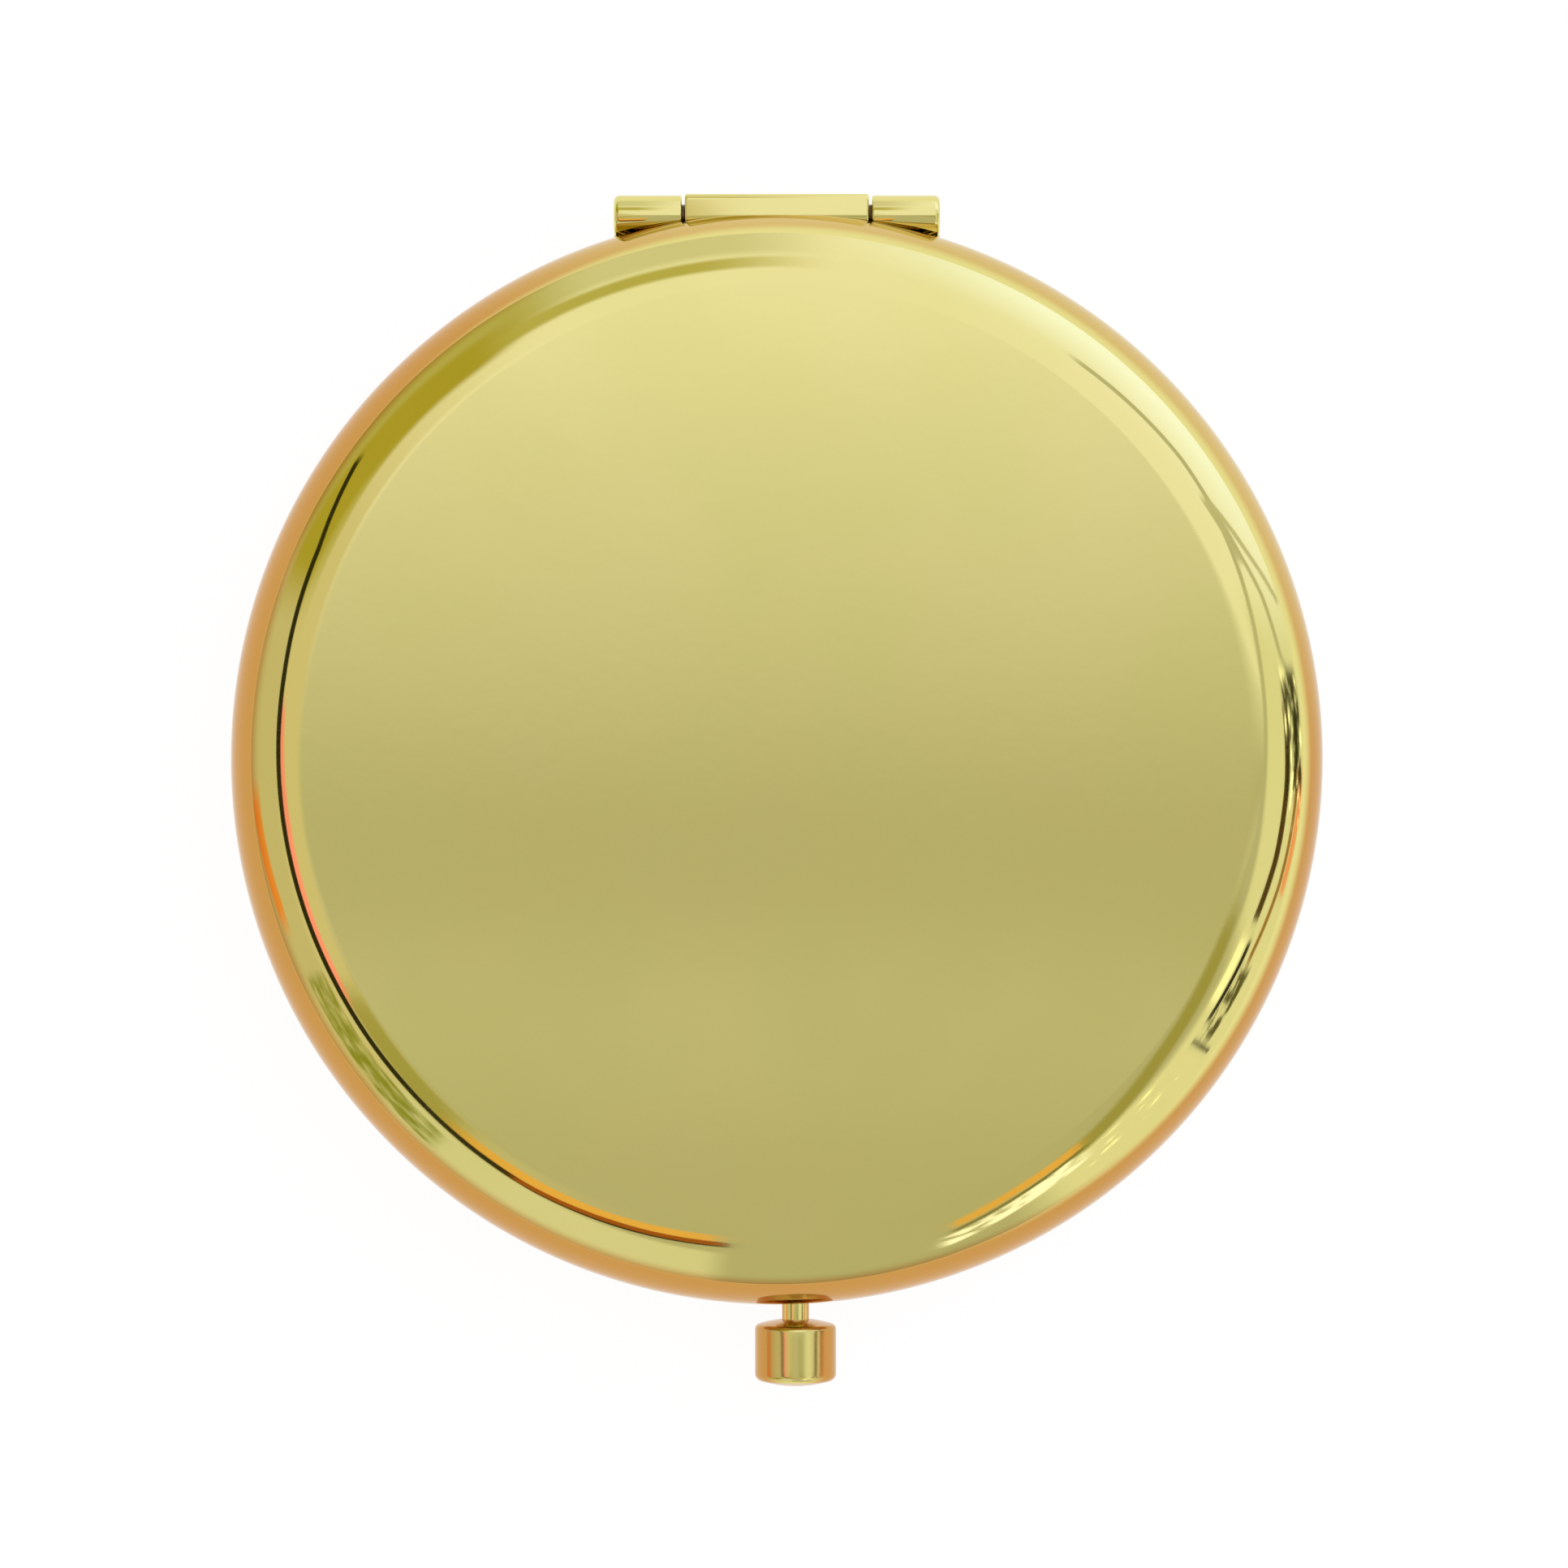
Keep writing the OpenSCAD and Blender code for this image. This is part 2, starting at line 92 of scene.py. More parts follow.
# %% The camera
FRAME_PIXELS = 1932
VIEW_WIDTH = 100.65 * MM
CASE_PIXEL = (957.2, 934.7)
CAMERA_DISTANCE = 400 * MM
pixel = VIEW_WIDTH / FRAME_PIXELS
camera_data = bpy.data.cameras.new("camera")
camera_data.lens = camera_data.sensor_width * CAMERA_DISTANCE / VIEW_WIDTH
camera_data.clip_start = CAMERA_DISTANCE / 10
camera = bpy.data.objects.new("camera", camera_data)
bpy.context.scene.collection.objects.link(camera)
camera.location = (
    (FRAME_PIXELS / 2 - CASE_PIXEL[0]) * pixel,
    (CASE_PIXEL[1] - FRAME_PIXELS / 2) * pixel,
    MID_Z + CAMERA_DISTANCE,
)
bpy.context.scene.camera = camera
bpy.context.scene.view_settings.view_transform = "Standard"
print("lens", round(camera_data.lens, 1), "mm, one pixel is", round(pixel / MM, 4), "mm")

# %% [markdown]
# A finish is a small formula: a colour that drifts, a roughness with streaks, a
# bump. Node by node such a formula is hard to read, so two small classes turn it
# into Python. A Value wraps a socket, and an expression on it adds its Math
# nodes. A Graph adds every other node through one method.

# %% Values and graphs
class Value:
    """A socket that takes part in Python arithmetic."""

    def __init__(self, graph, socket):
        self.graph = graph
        self.socket = socket

    def math(self, operation, *values):
        return self.graph.node("ShaderNodeMath", {"operation": operation}, dict(enumerate(values)))

    def __add__(self, other):
        return self.math("ADD", self, other)

    __radd__ = __add__

    def __sub__(self, other):
        return self.math("SUBTRACT", self, other)

    def __rsub__(self, other):
        return self.math("SUBTRACT", other, self)

    def __mul__(self, other):
        return self.math("MULTIPLY", self, other)

    __rmul__ = __mul__

    def __abs__(self):
        return self.math("ABSOLUTE", self)

    def rise(self, start, end):
        """0 before start, 1 after end and a smooth step between them."""
        return self.graph.node(
            "ShaderNodeMapRange",
            {"interpolation_type": "SMOOTHSTEP"},
            {"Value": self, "From Min": start, "From Max": end},
        )

    def band(self, middle, half, soft):
        """1 within half of the middle, falling smoothly to 0 over the distance soft."""
        return 1 - abs(self - middle).rise(half, half + soft)


class Graph:
    """The nodes of one material or of the world."""

    def __init__(self, owner):
        owner.use_nodes = True
        self.tree = owner.node_tree
        self.tree.nodes.clear()

    def node(self, kind, settings, inputs, output=0):
        """Adds a node: its settings first, then the values or links of its sockets."""
        made = self.tree.nodes.new(kind)
        for name, value in settings.items():
            setattr(made, name, value)
        for name, value in inputs.items():
            if isinstance(value, Value):
                self.tree.links.new(value.socket, made.inputs[name])
            else:
                made.inputs[name].default_value = value
        return Value(self, made.outputs[output]) if len(made.outputs) else None

    def mix(self, factor, a, b):
        """Colour a where the factor is 0, and colour b where it is 1."""
        return self.node("ShaderNodeMix", {"data_type": "RGBA"}, {0: factor, 6: a, 7: b}, 2)

    def noise(self, vector, scale, detail=2.0, roughness=0.5):
        return self.node(
            "ShaderNodeTexNoise",
            {},
            {"Vector": vector, "Scale": scale, "Detail": detail, "Roughness": roughness},
        )

    def place(self, scale=(1, 1, 1), turn=(0, 0, 0), move=(0, 0, 0)):
        """Object coordinates in metres, moved, turned and stretched by a Mapping node."""
        where = self.node("ShaderNodeTexCoord", {}, {}, "Object")
        settings = {"Location": move, "Rotation": turn, "Scale": scale}
        return self.node("ShaderNodeMapping", {}, {"Vector": where, **settings})

    def axes(self, vector):
        """The three numbers of a vector."""
        return [self.node("ShaderNodeSeparateXYZ", {}, {0: vector}, i) for i in range(3)]


def rgb(red, green, blue):
    """A linear colour with full alpha."""
    return (red, green, blue, 1.0)

# %% [markdown]
# The photograph has a plain white ground. The floor is a pale matt sheet that
# shows itself white to the camera and to what mirrors it, through the Light Path
# node, and a share of real diffuse light stays in it for the object's shadow. It
# lies a hair below the case, so that the two faces don't coincide, and its back
# is clear, so that the case's underside can be looked at too.

# %% The floor
def plane_object(name, half, z):
    """A square of half width half at the height z: its four corners, one face."""
    corners = [(-half, -half, z), (half, -half, z), (half, half, z), (-half, half, z)]
    mesh = bpy.data.meshes.new(name)
    mesh.from_pydata(corners, [], [(0, 1, 2, 3)])
    made = bpy.data.objects.new(name, mesh)
    bpy.context.scene.collection.objects.link(made)
    return made


FLOOR_HALF = 6.0
GROUND_MATT = 0.08
GROUND_GLOW = 0.95
floor = plane_object("floor", FLOOR_HALF, -0.02 * MM)
floor_material = bpy.data.materials.new("floor")
floor.data.materials.append(floor_material)
ground = Graph(floor_material)
seen = 0
for ray in ("Is Camera Ray", "Is Glossy Ray", "Is Transmission Ray"):
    seen = ground.node("ShaderNodeLightPath", {}, {}, ray) + seen
matt = ground.node("ShaderNodeBsdfDiffuse", {}, {"Color": rgb(*[GROUND_MATT] * 3)})
glow = ground.node(
    "ShaderNodeEmission", {}, {"Color": rgb(1, 1, 1), "Strength": seen * GROUND_GLOW}
)
both = ground.node("ShaderNodeAddShader", {}, {0: matt, 1: glow})
back = ground.node("ShaderNodeNewGeometry", {}, {}, "Backfacing")
clear = ground.node("ShaderNodeBsdfTransparent", {}, {"Color": rgb(1, 1, 1)})
sheet = ground.node("ShaderNodeMixShader", {}, {0: back, 1: both, 2: clear})
ground.node("ShaderNodeOutputMaterial", {}, {"Surface": sheet})
print("floor", 2 * FLOOR_HALF, "m wide")

# %% [markdown]
# Polished metal has no colour of its own to show, it shows the room. The flat lid
# looks straight up, and is brighter towards the hinge. The rounded shoulder sees
# everything from the zenith down to the horizon within 3.5 mm, so the lamps and
# walls of the room lie there as thin bands. The room is a world shader: for each
# direction it needs the bearing, clockwise from the hinge's side, and the tilt
# away from straight up, both in degrees.

# %% Directions of the room
world = bpy.data.worlds.new("studio")
bpy.context.scene.world = world
room = Graph(world)
east, north, up = room.axes(room.node("ShaderNodeTexCoord", {}, {}, "Generated"))
bearing = east.math("ARCTAN2", east, north) * np.degrees(1.0)
tilt = up.math("ARCCOSINE", up) * np.degrees(1.0)


def through(value, points):
    """A line through points (value, height): each stretch adds its own clamped climb."""
    height = points[0][1]
    for (start, low), (end, high) in zip(points, points[1:]):
        reach = {"Value": value, "From Min": start, "From Max": end, "To Max": high - low}
        height = value.graph.node("ShaderNodeMapRange", {}, reach) + height
    return height


def over(below, mask, level, tint=(1, 1, 1)):
    """Lays a surface of this brightness and tint over the room where the mask is 1."""
    return room.mix(mask, below, rgb(*(level * share for share in tint)))


# %% [markdown]
# The room is laid out from the back to the front. Overhead a white sheet grows
# brighter towards the hinge's side. A bright window stands behind on the right,
# a dark olive screen behind on the left, and pale walls on the other sides.

# %% The sheet overhead, the window and the walls
PLAIN = (1.0, 1.0, 1.0)
WARM = (1.0, 0.92, 0.78)
OLIVE = (1.0, 0.93, 0.40)
ORANGE = (1.0, 0.56, 0.18)
SALMON = (1.0, 0.34, 0.42)
UMBER = (1.0, 0.55, 0.20)
DAYLIGHT = (1.22, 1.35, 2.2)
SHEET_FRONT = rgb(0.59, 0.58, 0.55)
SHEET_BACK = rgb(1.05, 1.05, 1.22)
rise = through(
    north,
    [
        (-0.060, 0), (-0.044, 0.17), (-0.034, 0.17), (-0.018, 0),
        (-0.004, 0), (0.014, 0.23), (0.06, 0.74), (0.076, 1),
    ],
)
sky = room.mix(rise, SHEET_FRONT, SHEET_BACK)
# bearing's middle, half width and fade, the tilt where it starts and its fade, brightness, tint
walls = (
    (-95, 28, 45, 4, 8, 0.78, WARM),
    (-20, 14, 14, 44, 16, 0.80, PLAIN),
    (-46, 14, 12, 26, 12, 0.57, OLIVE),
    (-93, 20, 8, 41, 7, 0.70, WARM),
    (-152, 19, 4, 36, 6, 0.84, PLAIN),
    (92, 14, 10, 23, 8, 0.92, PLAIN),
    (128, 16, 10, 30, 12, 0.95, PLAIN),
)
for middle, half, soft, start, fade, level, tint in walls:
    mask = bearing.band(middle, half, soft) * tilt.rise(start, start + fade)
    sky = over(sky, mask, level, tint)
glare = through(
    tilt, [(1, 0), (5, 0.03), (18, 0.04), (30, 0.08), (40, 0.16), (50, 0.42), (80, 1)]
)
sky = over(sky, bearing.band(42, 8, 34) * glare, 1.0, DAYLIGHT)

# %% [markdown]
# Thin lines come next. The lamp over the left half has a black frame, whose
# inside edge glows orange, and the window's frame makes grey lines that part
# from one another. Each line is a tilt that changes with the bearing. A noise
# over the bearing and the tilt breaks up those that stand for cluttered things.

# %% Frames of the lamps and the things on the sill
# a cell of the noise is about 2.6 degrees of bearing wide and 9 degrees of tilt long
spread = room.node("ShaderNodeCombineXYZ", {}, {0: bearing * 0.38, 1: tilt * 0.11})
specks = room.noise(spread, 1.0, 3.0, 0.6)
whole = specks * 0 + 1  # a mask that hides nothing


def frame_line(points, half, soft, level, tint=PLAIN, fade=1, part=whole):
    """Lays a line over the room: it follows the points (bearing, tilt) from end to end."""
    start, end = points[0][0], points[-1][0]
    along = bearing.band((start + end) / 2, (end - start) / 2, fade)
    across = tilt.band(through(bearing, points), half, soft)
    return over(sky, along * across * part, level, tint)


LAMP = (
    (-173, 26), (-162, 31), (-150, 35), (-132, 34), (-117, 35),
    (-100, 38), (-80, 42), (-65, 49), (-55, 66),
)
SILL = ((38, 40), (53, 48), (59, 47), (68, 40), (78, 31), (92, 23), (112, 19))
# points (bearing, tilt), half width and fade in tilt, brightness, tint, fade at the ends
lines = (
    (((-60, 38), (-35, 42), (-10, 38)), 5, 7, 0.60, OLIVE, 18),
    (((-172, 19), (-158, 25), (-137, 27)), 5.5, 2, 1.0, ORANGE, 1),
    (((-118, 29), (-98, 32)), 3.6, 1.5, 1.3, SALMON, 3),
    (((-97, 32), (-85, 36)), 3.0, 1.5, 1.2, SALMON, 3),
    (((-106, 76), (-96, 82)), 5, 3, 1.0, (1.0, 0.36, 0.10), 5),
    (((-136, 20), (-121, 19)), 8, 6, 0.47, OLIVE, 6),
    (((-66, 60), (-52, 52), (-38, 46)), 14, 12, 0.50, (1.0, 0.86, 0.14), 9),
    (LAMP, 3.0, 1.2, 0.03, OLIVE, 2),
    (((-173, 25), (-160, 30), (-148, 35)), 2.4, 1.2, 0.42, (1.0, 0.28, 0.05), 1),
    (SILL, 2.2, 1.6, 0.60, PLAIN, 3),
    (((59, 43), (66, 50)), 4.5, 2, 0.64, PLAIN, 1.5),
    (((59, 47), (66, 65), (72, 86)), 2.4, 2, 0.66, PLAIN, 1),
    (((64, 49), (71, 62), (78, 66), (81, 76)), 2.2, 1.5, 0.62, PLAIN, 1),
    (((110, 14), (128, 20), (143, 34)), 5, 7, 0.43, OLIVE, 4),
    (((84, 60), (92, 61), (101, 58), (108, 51)), 3.6, 1.5, 0.10, UMBER, 1),
    (((92, 80), (104, 74), (112, 66)), 2.0, 1.5, 0.40, UMBER, 3),
    (((92, 88), (104, 82)), 3.0, 2.0, 1.1, (1.0, 0.42, 0.30), 2),
    (((111, 55), (121, 50)), 2.2, 0.8, 0.02, PLAIN, 0.3),
    (((123.8, 64), (124.2, 64)), 16, 2, 0.02, PLAIN, 0.2),
    (((142, 29), (151, 33), (159, 41)), 4, 2, 1.0, ORANGE, 0.5),
    (((142, 36), (150, 41), (159, 50)), 1.6, 1, 0.25, OLIVE, 1),
    (((147, 42), (151, 60)), 1.5, 1.5, 0.3, OLIVE, 1),
    (((112, 44), (118, 42)), 4, 2, 1.4, PLAIN, 2),
)
for points, half, soft, level, tint, fade in lines:
    sky = frame_line(points, half, soft, level, tint, fade)
dark = specks.rise(0.46, 0.50)
pale = 1 - specks.rise(0.38, 0.41)
# as the lines, with the mask of the specks in the last place
crowds = (
    (((81, 72), (93, 74)), 13, 3, 0.04, (1.0, 0.95, 0.25), dark),
    (((81, 72), (96, 74)), 13, 3, 2.2, PLAIN, pale),
    (((115, 66), (122, 62)), 8, 2, 0.12, OLIVE, dark),
    (((128, 52), (141, 56)), 10, 4, 1.7, PLAIN, pale),
    (((143, 46), (151, 53), (160, 63)), 7, 2, 1.5, (1.0, 1.0, 1.35), specks.rise(0.42, 0.48)),
    (((-137, 62), (-116, 60)), 13, 4, 0.30, (1.0, 1.1, 0.12), specks.rise(0.25, 0.62)),
)
for points, half, soft, level, tint, part in crowds:
    sky = frame_line(points, half, soft, level, tint, 2, part)
plain_view = room.node("ShaderNodeLightPath", {}, {}, "Is Camera Ray")
sky = room.mix(plain_view, sky, rgb(1, 1, 1))
backdrop = room.node("ShaderNodeBackground", {}, {"Color": sky, "Strength": 1.0})
room.node("ShaderNodeOutputWorld", {}, {"Surface": backdrop})
print("walls", len(walls), "lines", len(lines), "crowds", len(crowds))

# %% [markdown]
# Nearly every piece here is turned on a lathe: a profile of distances and
# heights, carried round an axis. On a grid of points, with rows along the
# profile and columns round the axis, neighbours make the faces. Where both ends
# of the profile lie on the axis, a single point closes each, and otherwise the
# last row joins the first, as on a ring.

# %% Meshes from grids of points
def grid_faces(rows, columns, ring=False):
    """Quads between neighbours: column k goes on to k + 1 and the last to the first.
    With ring, the last row goes on to the first as well."""
    i, k = np.meshgrid(np.arange(rows if ring else rows - 1), np.arange(columns), indexing="ij")
    row, below, beside = i * columns, (i + 1) % rows * columns, (k + 1) % columns
    corners = [row + k, row + beside, below + beside, below + k]
    return np.stack(corners, axis=-1).reshape(-1, 4)


def form(grid, ring=False):
    """Points and faces of a closed surface through a grid of points [row, column, 3], whose
    columns go counterclockwise seen from the end of its rows. Without ring, the mean of
    the first row and the mean of the last row close it as poles."""
    rows, columns = grid.shape[:2]
    points = grid.reshape(-1, 3)
    faces = grid_faces(rows, columns, ring).tolist()
    if not ring:
        first, last = len(points), len(points) + 1
        points = np.vstack([points, grid[0].mean(axis=0), grid[-1].mean(axis=0)])
        k = np.arange(columns)
        beside = (k + 1) % columns
        end = (rows - 1) * columns
        faces += np.stack([np.full(columns, first), beside, k], axis=-1).tolist()
        faces += np.stack([np.full(columns, last), end + k, end + beside], axis=-1).tolist()
    return points, faces


SHARP_ANGLE = np.radians(48)


def piece_of(name, forms, body):
    """Joins forms into one object that rides on a CAD body. Its faces are shaded smooth,
    and edges steeper than the sharp angle stay crisp."""
    points, faces = [], []
    for more_points, more_faces in forms:
        start = sum(len(p) for p in points)
        points.append(more_points)
        faces += [[start + corner for corner in face] for face in more_faces]
    mesh = bpy.data.meshes.new(name)
    mesh.from_pydata(np.vstack(points).tolist(), [], faces)
    mesh.update()
    mesh.polygons.foreach_set("use_smooth", np.full(len(mesh.polygons), True))
    mesh.set_sharp_from_angle(angle=SHARP_ANGLE)
    made = bpy.data.objects.new(name, mesh)
    bpy.context.scene.collection.objects.link(made)
    print(name, len(mesh.vertices), "points", len(faces), "faces")
    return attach(made, body)


def arc(centre, radius, start, end, steps):
    """Points [distance, height] on a circle from the angle start to the angle end in
    degrees: centre + radius * (sine, -cosine), so that 0 points straight down."""
    angle = np.radians(np.linspace(start, end, steps + 1))
    return np.stack([centre[0] + radius * np.sin(angle), centre[1] - radius * np.cos(angle)], -1)


def line(start, end, steps):
    """Evenly spaced points from start to end, both included."""
    share = np.linspace(0, 1, steps + 1)[:, None]
    return np.array(start) * (1 - share) + np.array(end) * share

# %% [markdown]
# Each half of the case is a shallow bowl pressed from sheet: a flat face, a
# shoulder that is a quarter circle, a short straight wall and a rim. Both halves
# are worked out lying on their outside face, and the lid is turned over later.
# A subdivision surface would round such a bowl too, but a mirror finish shows
# every small error, so the exact profile is used, with many close columns.

# %% The wall of a bowl, by its length
def wall_point(length, corner):
    """A point [distance, height] on the outline at this length beyond the flat face: a
    quarter circle of radius corner round the shoulder's centre, then straight up."""
    quarter = corner * np.pi / 2
    angle = np.minimum(length, quarter) / corner
    out = CASE_R - SHOULDER + corner * np.sin(angle)
    height = SHOULDER - corner * np.cos(angle) + np.maximum(length - quarter, 0)
    return out, height


def wall_length(height, corner):
    """The inverse: the length at which the outline has this height."""
    angle = np.arccos(np.clip((SHOULDER - height) / corner, 0, 1))
    return corner * angle + np.maximum(height - SHOULDER, 0)


# %% [markdown]
# The hinge needs room in the rim: a round notch for the knuckles and windows for
# the webs of the leaf. On a lathe form such a notch is only a rim that is lower
# in some columns, so one function gives the rim's height at any place, and extra
# columns stand close together at the notch's steps. The notch ends within the
# near turn, an angle in radians on either side of the hinge.

# %% The rim with its notch for the hinge
CLEAR = 0.15 * MM
ROOM_HALF = HINGE_HALF + CLEAR
MIDDLE_HALF = KNUCKLE_HALF + CLEAR
WINDOW_Z = 4.1 * MM  # the lower edge of the windows
CUT_Y = AXIS_Y - 0.08 * MM  # the bowl is cut off flat here
SWING_R = 1.764 * MM  # the squared knuckle's corner turns on this circle
STEP = 0.01 * MM
NEAR_TURN = 0.31


def rim_height(x, y, window, middle_r):
    """The full half height, or less in the hinge's room: below the knuckles' round bars
    the height is the axis minus the root of radius squared minus distance squared."""
    height = np.full(x.shape, HALF_H)
    for half, radius in ((ROOM_HALF, BARREL_R + CLEAR), (MIDDLE_HALF, middle_r + CLEAR)):
        depth = np.sqrt(np.maximum(radius**2 - (AXIS_Y - y) ** 2, 0))
        inside = (np.abs(x) < half) & (depth > 0)
        height = np.where(inside, np.minimum(height, MID_Z - depth), height)
    inside = (np.abs(x) > window[0]) & (np.abs(x) < window[1]) & (y > 0)
    return np.where(inside, np.minimum(height, WINDOW_Z), height)


def bowl_columns():
    """Angles from the hinge's side: even steps all round, closer ones at the hinge, and
    two at each sideways step of the notch."""
    even = np.linspace(-np.pi, np.pi, 481)[1:]
    steps = np.array([ROOM_HALF, MIDDLE_HALF, KNUCKLE_HALF + CLEAR / 3])
    steps = np.concatenate([steps - STEP, steps + STEP]) / CASE_R
    steps = np.arcsin(np.concatenate([steps, -steps]))
    close = np.linspace(-NEAR_TURN, NEAR_TURN, 125)
    return np.unique(np.round(np.concatenate([even, steps, close]), 6))


# %% A half of the case
SHARED_TURN = 0.33
BLEND_TURN = 0.1


def bowl(window, middle_r):
    """Points [row, column, 3]: out over the face, up the wall, over the rounded rim and
    down inside. Up to the shared turn both walls have their columns' x in common, and
    over the blend turn they come to have the angle in common instead."""
    turn = bowl_columns()
    x_out = CASE_R * np.sin(turn)
    far = np.clip((np.abs(turn) - SHARED_TURN) / BLEND_TURN, 0, 1)
    same_x = np.arcsin(np.clip(x_out / (CASE_R - WALL), -1, 1))
    turn_in = same_x * (1 - far) + turn * far
    tops = []
    for angle, out in ((turn, CASE_R), (turn_in, CASE_R - WALL)):
        y = np.minimum(out * np.cos(angle), CUT_Y)
        tops.append(rim_height(out * np.sin(angle), y, window, middle_r))
    corner_in = SHOULDER - WALL
    rows = []

    def add(out, height, angle):
        out, height = np.broadcast_to(out, turn.shape), np.broadcast_to(height, turn.shape)
        y = out * np.cos(angle)
        y = np.where(np.abs(turn) < NEAR_TURN, np.minimum(y, CUT_Y), y)
        rows.append(np.stack([out * np.sin(angle), y, height], -1))

    face = CASE_R - SHOULDER
    for out in (0.02 * face, 0.4 * face, 0.8 * face, face - EDGE):
        add(out, 0, turn)
    for share in np.linspace(0, 1, 45):
        add(*wall_point(share * wall_length(tops[0] - EDGE, SHOULDER), SHOULDER), turn)
    out, inside = (
        wall_point(wall_length(top - EDGE, corner), corner)[0]
        for top, corner in zip(tops, (SHOULDER, corner_in))
    )
    bevel = EDGE * np.array([1 - np.sqrt(0.5), 1])
    for cut, drop in zip(bevel, bevel[::-1]):
        add(out - cut, tops[0] - drop, turn)
    for cut, drop in zip(bevel[::-1], bevel):
        add(inside + cut, tops[1] - drop, turn_in)
    for share in np.linspace(1, 0, 25):
        add(*wall_point(share * wall_length(tops[1] - EDGE, corner_in), corner_in), turn_in)
    for out in (0.8 * face, 0.02 * face):
        add(out, WALL, turn_in)
    return np.stack(rows)[:, ::-1]


def turned_over(grid):
    """The same form with its heights counted down from the case's top, and its columns
    in the other order, so that its faces still point outwards."""
    grid = grid * (1, 1, -1) + (0, 0, CASE_H)
    return grid[:, ::-1]


base_window = (KNUCKLE_HALF + CLEAR / 3, ROOM_HALF)
lid_window = (-STEP, MIDDLE_HALF)
base_bowl = piece_of("base_case", [form(bowl(base_window, SWING_R))], "base")
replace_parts(base_bowl, "base_shell")
lid_bowl = piece_of("lid_case", [form(turned_over(bowl(lid_window, BARREL_R)))], "lid")
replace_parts(lid_bowl, "lid_shell")

# %% [markdown]
# The case is plated in a pale, slightly green gold and polished. Its colour drifts
# a little over the surface, and years of handling leave hair lines that catch
# light. On the steep sides the colour turns to a warmer, coppery tone: a painted
# reflection of a warm table round the case. The painted band is wider on the left
# and in front, and fainter at the back. Metallic stays at 1, and the colour, the
# roughness and a faint bump carry the rest.

# %% The gold plating
PALE_GOLD = rgb(0.80, 0.715, 0.26)
DEEP_GOLD = rgb(0.77, 0.70, 0.24)
# the coppery colour of a painted reflection of a warm table, laid on the steep sides
WARM_REFLECTION = rgb(0.60, 0.305, 0.07)


def principled(graph, **sockets):
    """The Principled shader with these sockets, and the output it ends in."""
    named = {name.replace("_", " "): value for name, value in sockets.items()}
    skin = graph.node("ShaderNodeBsdfPrincipled", {}, named)
    graph.node("ShaderNodeOutputMaterial", {}, {"Surface": skin})


def gold_plating(name, warm_middle, warm_half, warm_soft, front_left_widening=0.0, back_fading=0.0, polish=0.045):
    """A polished plating with a painted reflection: a coppery band within warm_half of the
    height warm_middle, and within front_left_widening more than that on the left and in
    front, where the steep sides would mirror a warm table. At the back the band is weaker
    by the share back_fading. polish is the least roughness."""
    made = bpy.data.materials.new(name)
    graph = Graph(made)
    where = graph.place()
    across, back, height = graph.axes(where)
    drift = graph.noise(where, 70.0)
    colour = graph.mix(drift.rise(0.3, 0.7), PALE_GOLD, DEEP_GOLD)
    # painted reflection: a coppery band round the steep sides, which would mirror a warm table;
    # wider on the left and in front, fainter at the back
    front_left_mask = 1 - (0.85 * across + 0.5 * back).rise(-12 * MM, 22 * MM)
    painted_warmth = height.band(warm_middle, warm_half + front_left_widening * front_left_mask, warm_soft)
    painted_warmth = painted_warmth * (1 - back_fading * (0.5 * across + back).rise(15 * MM, 35 * MM))
    colour = graph.mix(painted_warmth, colour, WARM_REFLECTION)
    hair = graph.noise(graph.place(scale=(1, 14, 1), turn=(0, 0, 0.5)), 260.0, 3.0)
    cross = graph.noise(graph.place(scale=(12, 1, 1), turn=(0, 0, 0.2)), 300.0, 3.0)
    fine = (hair - 0.5) * (cross - 0.5)
    rough = polish + 0.03 * drift.rise(0.35, 0.75) + 0.5 * abs(fine)
    wave = graph.node(
        "ShaderNodeBump",
        {},
        {"Strength": 0.05, "Distance": 0.02 * MM, "Height": graph.noise(where, 900.0, 2.0)},
    )
    principled(graph, Base_Color=colour, Metallic=1.0, Roughness=rough, Normal=wave)
    return made


def dress(piece, material):
    """Gives a new piece its material."""
    piece.data.materials.clear()
    piece.data.materials.append(material)
    return piece


# the case's steep sides get the painted coppery reflection of a warm table
case_gold = gold_plating("case_gold", MID_Z, 3.2 * MM, 0.65 * MM, 0.6 * MM, 0.45)
for piece in (base_bowl, lid_bowl):
    dress(piece, case_gold)

# %% [markdown]
# The button, its stem and the bush that guides it are small turned pieces on one
# axis. A profile that starts and ends on the axis is swept round it. The
# button's ends are slightly domed and its edges rounded, and the front end is
# what a fingertip polishes, so the profile has those arcs and no others.

# %% Turned pieces on any axis
def turned(profile, columns, centre, along):
    """Points [row, column, 3]: centre + profile distance * a turning unit vector + profile
    height * along. The turning vector goes counterclockwise about along."""
    along = np.array(along, float)
    side = np.array([0.0, 0, 1]) if abs(along[2]) < 0.5 else np.array([1.0, 0, 0])
    front = np.cross(along, side)
    angle = np.linspace(0, 2 * np.pi, columns, endpoint=False)[:, None]
    wheel = side * np.cos(angle) + front * np.sin(angle)
    return centre + profile[:, :1, None] * wheel + profile[:, 1:, None] * along


def corner(centre, radius, start, end):
    """A small rounded corner in four steps."""
    return arc(centre, radius, start, end, 4)


